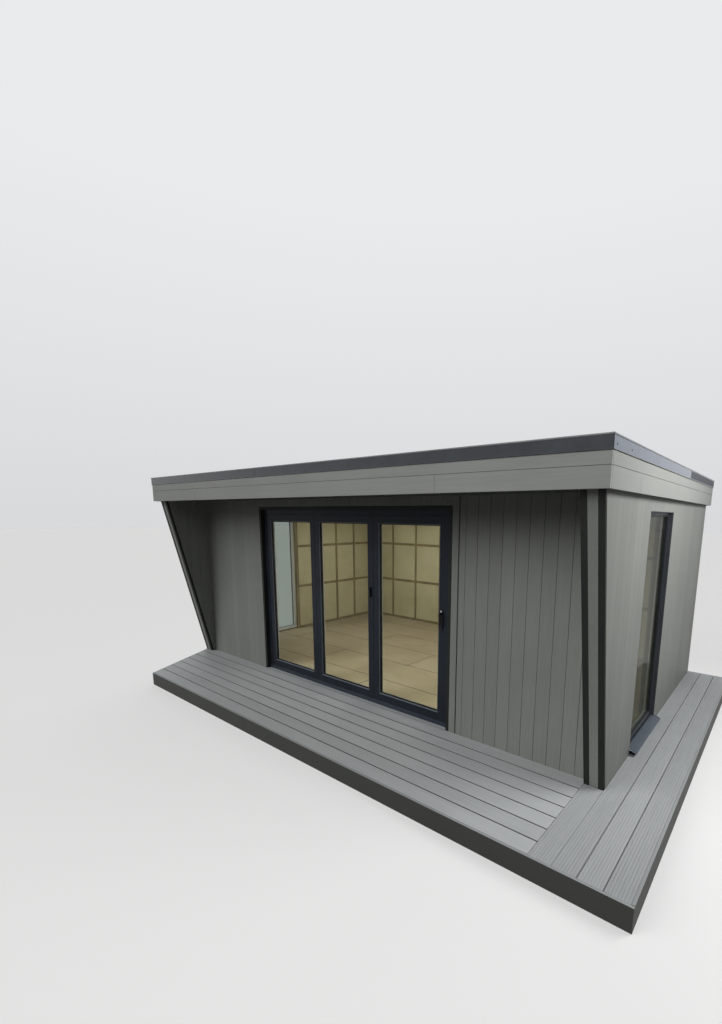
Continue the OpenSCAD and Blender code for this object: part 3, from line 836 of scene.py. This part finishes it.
# A lap at front and back, and two lengths on each side, the back one under the front one. The front side
# lengths are written paler and bluer, a painted reflection of the sky; the back ones are rougher and written
# darker, a painted dim reflection
ends, sides = ((y0, -1), (y1, 1)), ((x1, 1), (x0, -1))
joint_y = y_front + SIDE_JOINT
trim_lengths("roof_trim_laps", ends, LAP_PROUD, x_left + LAP_START, x_left + LAP_END, 0, roof_coat)
trim_lengths("roof_trim_side_lengths", sides, SIDE_PROUD, y0 + face_in, joint_y, 1, side_sky_reflection_coat)
trim_lengths("roof_trim_dull_lengths", sides, DULL_PROUD, joint_y, y1 - face_in, 1, dull_dim_reflection_coat)
screws = [pad((edge - out * face_in, y0 + y, drip + SCREW_Z), 0.006, 0.006, 0.003, out, 0, 0.002)
          for edge, out in sides for y in SCREWS_Y]
piece("roof_trim_screws", screws, handle_coat, trim_nodes)


def roof_surface():
    """The rubber sheet as a closed slab: a grid of heights over a flat bottom.

    Height = a slow swell of sines, plus a step of the sheet's thickness that starts at each lap and fades
    over a twelfth of its width, and a fillet that climbs as a quarter circle to the trim at the edges.
    """
    low, high = roof_low - fascia_t + TRIM_W, roof_high + fascia_t - TRIM_W
    xs, ys = (np.linspace(low[i], high[i], count) for i, count in enumerate(SHEET_GRID))
    x, y = np.meshgrid(xs, ys, indexing="ij")
    swell = 0.0025 * np.sin(2.3 * x + 1.0) * np.sin(3.1 * y) + 0.0012 * np.sin(7.9 * x + 4.1 * y)
    step = SHEET_T * np.clip(1 - ((x - low[0]) / SHEET_LAP % 1.0) * 12, 0, 1)
    edge = np.minimum.reduce([x - low[0], high[0] - x, y - low[1], high[1] - y])
    climb = CANT - np.sqrt(np.maximum(CANT ** 2 - np.maximum(CANT - edge, 0) ** 2, 0))
    z = roof_high[2] + SHEET_BED + swell + step * (edge > CANT + 0.01) + climb
    points = np.stack([x, y, z], axis=-1).reshape(-1, 3)
    index = np.arange(x.size).reshape(x.shape)
    quads = np.stack([index[:-1, :-1], index[1:, :-1], index[1:, 1:], index[:-1, 1:]], axis=-1)
    rim = np.concatenate([index[:-1, 0], index[-1, :-1], index[:0:-1, -1], index[0, :0:-1]])
    below = x.size + np.arange(len(rim))
    walls = np.stack([rim, below, np.roll(below, -1), np.roll(rim, -1)], axis=-1)
    verts = np.concatenate([points, points[rim] * [1, 1, 0] + [0, 0, roof_low[2]]])
    faces = quads.reshape(-1, 4).tolist() + walls.tolist() + [below.tolist()]
    return verts, faces, np.full(len(verts), 0.5)


piece("roof_rubber_sheet", [roof_surface()], roof_sheet, ["roof_panel"])

# Boards under the overhang, in their painted shade
soffit_low, soffit_high = box("soffit_board")
soffit = board_outlines(runs(soffit_high[1], soffit_low[1], BOARD), soffit_low[2], -1,
                        soffit_high[2] - soffit_low[2], BOARD_GAP, BOARD_EASE)
piece("soffit_boards", [extrude(soffit, soffit_low[0], soffit_high[0], 0)], soffit_painted_shade,
      ["soffit_board"])


# Folding door

leaf_words = ("left", "middle", "right")
leaf_boxes = [box("door_panel_" + word) for word in leaf_words]
frame_low, frame_high = box("door_frame")
sill_low, sill_high = box("door_threshold")
leaf_y0, leaf_y1 = leaf_boxes[0][0][1], leaf_boxes[0][1][1]


def bar(width, front, back):
    """Outline of a plain bar, as (inset, depth), with the edges of its front eased."""
    ease = math.copysign(EASE, back - front)
    return [(0, back), (0, front + ease), (EASE, front), (width - EASE, front), (width, front + ease),
            (width, back)]


def half_sash(width, face, glass, split):
    """Outlines of half a hollow bar round glass, and of its glazing bead, as (inset, depth).

    The bar has a flat face and a seat for the bead, and its other half starts at split. The bead slopes
    down to the glass.
    """
    way = math.copysign(1, split - face)
    foot = width - BEAD - FIT
    rise = min(BEAD - 0.002, abs(glass - face) - FIT)
    seat = [(foot, face + way * 0.004), (width - 0.003, glass), (width, glass), (width, split)]
    bead = [(foot + 0.0005, glass), (foot + 0.0005, face + way * 0.001),
            (foot + 0.0015, face + way * 0.0005), (width - FIT, face + way * rise), (width - FIT, glass)]
    return bar(foot, face, split)[:-1] + seat, bead


def sash(name, low, high, axis, width, faces, glass_faces, outer_bead, nodes):
    """Both halves of a leaf or window frame, their beads and the gasket, carried round the opening.

    The halves are dark outside and pale inside.
    """
    split = sum(glass_faces) / 2
    coats = ((frame_coat, outer_bead), (inner_coat, inner_coat))
    for word, face, glass, part_coats in zip(("outer", "inner"), faces, glass_faces, coats):
        outlines = half_sash(width, face, glass, split)
        for middle, outline, coat in zip(("", "bead_"), outlines, part_coats):
            part = mitred(outline, low, high, axis)
            piece(f"{name}_{middle}{word}", [part], coat, nodes)
    front = glass_faces[0]
    way = math.copysign(1, front - faces[0])
    lip = [(width - 0.002, front + way * 0.001), (width - 0.002, front - way * 0.002),
           (width + 0.002, front - way * 0.0015), (width + 0.003, front + way * 0.001)]
    piece(name + "_gasket", [mitred(lip, low, high, axis)], gasket, nodes)


def panes(name, rects, axis, front, back, glass, spacer, nodes):
    """Sealed units: an outer and an inner pane, with a spacer bar between them at the rim."""
    u, v = rest_of(axis)
    panes_made, spacers = [], []
    for low, high in rects:
        outline = rect(low[u], low[v], high[u], high[v])
        panes_made += [extrude(outline, start, start + PANE, axis) for start in (front, back - PANE)]
        spacers.append(mitred(rect(0, front + PANE, SPACER_W, back - PANE)[0], low, high, axis))
    piece(name + "_panes", panes_made, glass, nodes, angle=30)
    piece(name + "_spacers", spacers, spacer, nodes)


leaf_glass = []
glass_low, glass_high = box("door_glass")
glass_mid = (glass_low[1] + glass_high[1]) / 2
for word, (low, high) in zip(leaf_words, leaf_boxes):
    low = low + [0, 0, LEAF_GAP]
    # The leaves' outer beads take the pale coat, a painted highlight
    sash("door_leaf_" + word, low, high, 1, STILE, (leaf_y0, leaf_y1), (glass_low[1], glass_high[1]),
         bead_highlight_coat, ["door_panel_" + word])
    leaf_glass.append((low + [STILE, 0, STILE], high - [STILE, 0, STILE]))
panes("door", leaf_glass, 1, glass_low[1], glass_high[1], door_glass, gasket, ["door_glass"])

for word, front, coat in (("outer", frame_low[1], frame_coat), ("inner", frame_high[1], inner_coat)):
    half = mitred(bar(FRAME_W, front, glass_mid), frame_low, frame_high, 1, open_foot=True)
    piece("door_frame_" + word, [half], coat, ["door_frame"])
liner = bar(door_high[0] - frame_high[0], door_low[1], door_high[1])
piece("door_black_liner", [mitred(liner, door_low, door_high, 1, open_foot=True)], black_trim,
      ["door_liner"])

# Section of the track as (depth, height): a groove in its top and a sloping front edge
ty0, ty1, tz0, tz1 = sill_low[1], sill_high[1], sill_low[2], sill_high[2]
track = np.array([[(ty0, tz0), (ty1, tz0), (ty1, tz1), (ty1 - 0.022, tz1), (ty1 - 0.024, tz1 - 0.006),
                   (ty1 - 0.036, tz1 - 0.006), (ty1 - 0.038, tz1), (ty0 + 0.012, tz1), (ty0, tz1 - 0.008)]])
soften(piece("door_sill_track", [extrude(track, sill_low[0], sill_high[0], 0)], track_coat,
             ["door_threshold"]))

seal_y0, seal_y1 = leaf_y0 + SEAL_SET, leaf_y1 - SEAL_SET
head_z = frame_high[2] - FRAME_W
seams = [low[0] - LEAF_GAP / 2 for low, _ in leaf_boxes[1:]]
seams = [frame_low[0] + FRAME_W, *seams, frame_high[0] - FRAME_W]
half = SEAL_W / 2
seals = [extrude(rect(x - half, seal_y0, x + half, seal_y1), tz1 + FIT, head_z, 2) for x in seams]
seals.append(extrude(rect(seal_y0, head_z - SEAL_T, seal_y1, head_z), seams[0], seams[-1], 0))
piece("door_seals", seals, gasket, ["door_panel_left"])


def fitting(leaf, start, height, half_x, half_z, depth, ease, power=2.0):
    """Pad on the closing stile of a leaf, which starts in front of it at a height above the deck."""
    x = leaf_boxes[leaf][1][0] - STILE / 2
    return pad((x, leaf_y0 - start, z_deck + height), half_x, half_z, depth, -1, 1, ease, power)


handle = [fitting(2, 0.0, PLATE_Z, 0.014, 0.100, 0.008, 0.003, 8),
          fitting(2, LEVER_OUT, LEVER_Z, 0.0085, 0.068, 0.012, 0.005, 5),
          fitting(2, ON_PLATE, KEY_Z, 0.0085, 0.0085, 0.004, 0.001),
          fitting(2, ON_PLATE, SPINDLE_Z, 0.011, 0.011, 0.028, 0.002)]
# Cap on the plate's head, pale: a painted highlight
cap = fitting(2, ON_PLATE, CAP_Z, 0.011, 0.011, 0.008, 0.004)
piece("door_handle_plate", handle, handle_coat, ["door_handles"])
piece("door_handle_cap", [cap], steel_and_highlight, ["door_handles"])
pull = fitting(1, 0.0, PULL_Z, 0.013, 0.053, 0.022, 0.006, 4)
piece("door_pull", [pull], handle_coat, ["door_handles"])


# Side windows

pane_low, pane_high = box("window_glass")
sills_low, sills_high = box("window_sills")
sill_ear = sills_high[1] - win_y1


def window(side):
    """Frame, glass, reveal lining and sill of one side window.

    The lining is a flat section carried up the opening, over it and down. The sill is a sheet bent along a
    path: it slopes out from the frame, rolls over the nose and turns back, and reaches past both jambs.
    """
    word, face = WORD[side], wall_x[side]
    frame_nodes = ["window_frame_" + word]
    low, high = box("window_frame_" + word)
    front, back = (high[0], low[0]) if side > 0 else (low[0], high[0])
    glass_front = pane_high[0] if side > 0 else pane_low[0]
    glass_back = glass_front - side * UNIT_T
    sash("window_sash_" + word, low, high, 0, SASH, (front, back), (glass_front, glass_back), window_bead,
         frame_nodes)
    inset = np.array([0, SASH, SASH])
    panes("window_" + word, [(low + inset, high - inset)], 0, *sorted([glass_front, glass_back]), side_glass,
          spacer_coat, ["window_glass"])
    outside = face + side * FIT
    # The lining takes the pale coat, a painted light against the reveal's shade
    lining = rect(-0.0005, outside, LINING_T, front)[0]
    opening = low * [1, 1, 0] + [0, 0, floor_top]
    piece("window_reveal_" + word, [mitred(lining, opening, high, 0, open_foot=True)], lining_painted_light,
          frame_nodes)

    out = sills_high[0] - x_right
    nose_z = sills_low[2] + SILL_NOSE
    slope_top = low[2] - FIT
    roll = np.vstack([arc(out - SILL_NOSE, nose_z, SILL_NOSE, 1, -1, 9), [[0.004, sills_low[2]]]])
    within = np.vstack([[[-abs(front - face) - 0.002, slope_top]], roll])
    beside = np.vstack([[[0.0, slope_top - 0.005]], roll])
    start, end = win_y0 - sill_ear, win_y1 + sill_ear
    within, beside = (folded(path, -SILL_T)[None] * [side, 1] + [face, 0] for path in (within, beside))
    parts = [extrude(within, win_y0 + LINING_T, win_y1 - LINING_T, 1), extrude(beside, start, win_y0, 1),
             extrude(beside, win_y1, end, 1)]
    piece("window_sill_" + word, parts, sill_coat, ["window_sills"])
    # The sill's cut ends: bare metal, written pale as a painted highlight
    cuts = [extrude(beside, y, y + FIT, 1) for y in (start - FIT, end)]
    piece("window_sill_cuts_" + word, cuts, steel_and_highlight, ["window_sills"])
    behind = face - side * 0.002
    packer = np.array([[[behind, floor_top], [back, floor_top], [back, low[2]], [front, low[2]],
                        [behind, low[2] - 0.012]]])
    piece("window_packer_" + word, [extrude(packer, win_y0 + LINING_T, win_y1 - LINING_T, 1)], black_trim,
          ["window_sills"])


window(1)
window(-1)


# Deck

edges_low, edges_high = box("deck_edges")
front_end, back_end = edges_low[1] + EDGE_T, edges_high[1] - EDGE_T
edge_along = EDGE_T * math.hypot(1, LEFT_SKEW / (foot_y - edges_low[1]))
seam = x_right - WING_T
notch = foot_y - NOTCH


def left_end(y):
    """Where the deck's left end runs: in by a share of the skew, from none at the wing to all in front."""
    return x_left + LEFT_SKEW * np.clip((foot_y - y) / (foot_y - edges_low[1]), 0, 1)


# The back edge of the row beside the wings is square, and a strip of the same board goes on behind it
row = np.arange(DECK_ROWS)
row_spans = np.stack([y_front - (row + 1) * DECK_PITCH, y_front - row * DECK_PITCH - PLANK_GAP], axis=1)
row_spans[0, 1] = notch
planks = board_outlines(row_spans, z_deck, 1, DECK_T, 0.0, PLANK_EASE)
planks[0, 1:5, 1] = z_deck
planks = extrude(planks, left_end(planks[..., 0]) + edge_along, seam - FIT, 0)
behind = rect(notch, z_deck - DECK_T, y_front - FIT, z_deck)
behind = extrude(behind, x_left + WING_T + NOTCH, seam - FIT, 0)
behind[2][:] = planks[2][0]
piece("deck_front_planks", [planks, behind], deck_x_shade_and_light, ["deck_front_boards"])


def ribbed(low, high):
    """Outline of a deck board with grooves along it: flat ribs with sloping sides down to each groove."""
    width = high - low
    count = int(width / RIB)
    foot = (width - count * RIB) / 2 + RIB * np.arange(count)[:, None]
    rise = np.array([[0.002, -RIB_DEPTH], [0.004, 0.0], [RIB - 0.002, 0.0], [RIB - 0.0005, -RIB_DEPTH]])
    top_line = np.stack([(foot + rise[:, 0]).ravel(), np.tile(rise[:, 1], count)], axis=-1)
    outline = np.vstack([[0, -DECK_T], [0, -0.002], [0.002, -0.0002], top_line,
                         [width - 0.002, -0.0002], [width, -0.002], [width, -DECK_T]])
    return (outline + [low, z_deck])[None]


strip = [[y_front - DECK_GAP, sill_low[1] - FIT]]
strip = board_outlines(strip, z_deck + STRIP_PROUD, 1, STRIP_PROUD + FIT, 0.0, BOARD_EASE)
piece("door_foot_strip", [extrude(strip, frame_low[0], frame_high[0], 0)], deck_x_shade_and_light,
      ["deck_front_boards"])

parts = [extrude(ribbed(seam, x_right), front_end, notch, 1)]
for i in range(SIDE_ROWS):
    x = x_right + i * DECK_PITCH
    parts.append(extrude(ribbed(x + (DECK_GAP if i else FIT), x + DECK_PITCH), front_end, back_end, 1))
piece("deck_side_planks", parts, deck_y, ["deck_side_boards"])


def edge_outline(low, thick=EDGE_T):
    """Outline of an edge board that starts at a place: upright, with its upper edges eased."""
    span = [[low, low + thick]]
    return board_outlines(span, edges_high[2], 1, edges_high[2] - edges_low[2], 0.0, PLANK_EASE)


right_start = edges_high[0] - EDGE_T
outline = edge_outline(edges_low[1])
front_edge = extrude(outline, left_end(outline[..., 0]), edges_high[0], 0)
right_edge = extrude(edge_outline(right_start), front_end + EDGE_GAP, edges_high[1], 1)
back_edge = extrude(edge_outline(back_end), x_right, right_start - EDGE_GAP, 0)
left_edge = extrude(edge_outline(0, edge_along), front_end + EDGE_GAP, notch, 1)
left_edge[0][:, 0] += left_end(left_edge[0][:, 1])
under_wing = rect(x_left - 0.002, notch + FIT, x_left + EDGE_T, y_front)
foot_board = extrude(under_wing, edges_low[2], wing_foot_z - FIT, 2)
piece("deck_edge_boards_x", [front_edge, back_edge], edge_x_face_shade, ["deck_edges"])
piece("deck_edge_boards_y", [right_edge, left_edge, foot_board], edge_y_face_shade, ["deck_edges"])


# CAD nodes that keep their shape

kept = {
    stud_wood: ["studs_left", "studs_right", "studs_back", "studs_front"],
    joist_wood: ["deck_joists", "base_frame"],
    inner_sheet: ["ceiling_board"],
    floor_sheet: ["floor_boards"],
}
for material, names in kept.items():
    for name in names:
        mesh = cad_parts[name].data
        mesh.materials.clear()
        mesh.materials.append(material)


# Floor, light and camera

def hang(name, kind, at, back, in_glass=False, **values):
    """Puts a lamp at a place with its back along a direction.

    Neither the camera nor a shiny face shows it. With in_glass, rays that pass through glass meet it.
    """
    lamp = bpy.data.lights.new(name, kind)
    for key, value in values.items():
        setattr(lamp, key, value)
    made = add(name, lamp)
    made.location = at
    made.rotation_euler = Vector(back).to_track_quat("Z", "Y").to_euler()
    made.visible_camera = False
    made.visible_glossy = False
    made.visible_transmission = in_glass


def stage():
    """Pale floor and backdrop, which look brighter than the light that they give, and the lamps."""
    mesh = bpy.data.meshes.new("floor")
    corners = rect(-FLOOR_HALF, -FLOOR_HALF, FLOOR_HALF, FLOOR_HALF)[0]
    mesh.from_pydata([(x, y, -0.001) for x, y in corners], [], [(0, 1, 2, 3)])
    floor = add("floor", mesh)
    made = Finish("pale_floor", Roughness=0.9, Specular_IOR_Level=0.0, Emission_Color=(1.0, 1.0, 1.0, 1.0))
    seen = made.sees_backdrop()
    made.feed("Base Color", made.between(seen, FLOOR))
    made.feed("Emission Strength", made.span(seen, 0.0, 1.0, 0.0, FLOOR_GLOW))
    mesh.materials.append(made.material)

    world = bpy.data.worlds.new("studio")
    world.use_nodes = True
    dome = Nodes(world.node_tree)
    back = dome.tree.nodes["Background"]
    height = dome.height(dome.node("TexCoord").outputs["Generated"])
    seen = dome.span(height, 0.0, 0.5, BACKDROP_LOW, BACKDROP_HIGH)
    level = dome.node("Mix", {0: dome.sees_backdrop(), 2: DOME_LEVEL, 3: seen}, data_type="FLOAT").outputs[0]
    dome.tree.links.new(level, back.inputs["Strength"])
    back.inputs["Color"].default_value = DOME_TINT
    bpy.context.scene.world = world

    for name, (level, spread, back, in_glass) in SUNS.items():
        hang(name, "SUN", (0, 0, 0), back, in_glass, energy=level * math.pi, angle=math.radians(spread))
    for name, (size, size_y, watts, at, aim) in LAMPS.items():
        back = Vector(at) - Vector(aim)
        hang(name, "AREA", at, back, shape="RECTANGLE", size=size, size_y=size_y, energy=watts)


def camera():
    """The photograph's camera: focal length and centre in its pixels, then yaw, pitch and roll."""
    data = bpy.data.cameras.new("camera")
    data.sensor_fit = "VERTICAL"
    data.sensor_height = 36.0
    data.lens = FOCAL * data.sensor_height / PHOTO[1]
    data.shift_x = (PHOTO[0] / 2 - CENTRE[0]) / PHOTO[1]
    data.shift_y = (CENTRE[1] - PHOTO[1] / 2) / PHOTO[1]
    data.clip_end = 300.0
    made = add("camera", data)
    turn = Matrix.Rotation(YAW, 4, "Z") @ Matrix.Rotation(math.pi / 2 - PITCH, 4, "X")
    made.matrix_world = Matrix.Translation(CAMERA_AT) @ turn @ Matrix.Rotation(ROLL, 4, "Z")
    bpy.context.scene.camera = made


stage()
camera()
bpy.context.scene.view_settings.view_transform = "Standard"
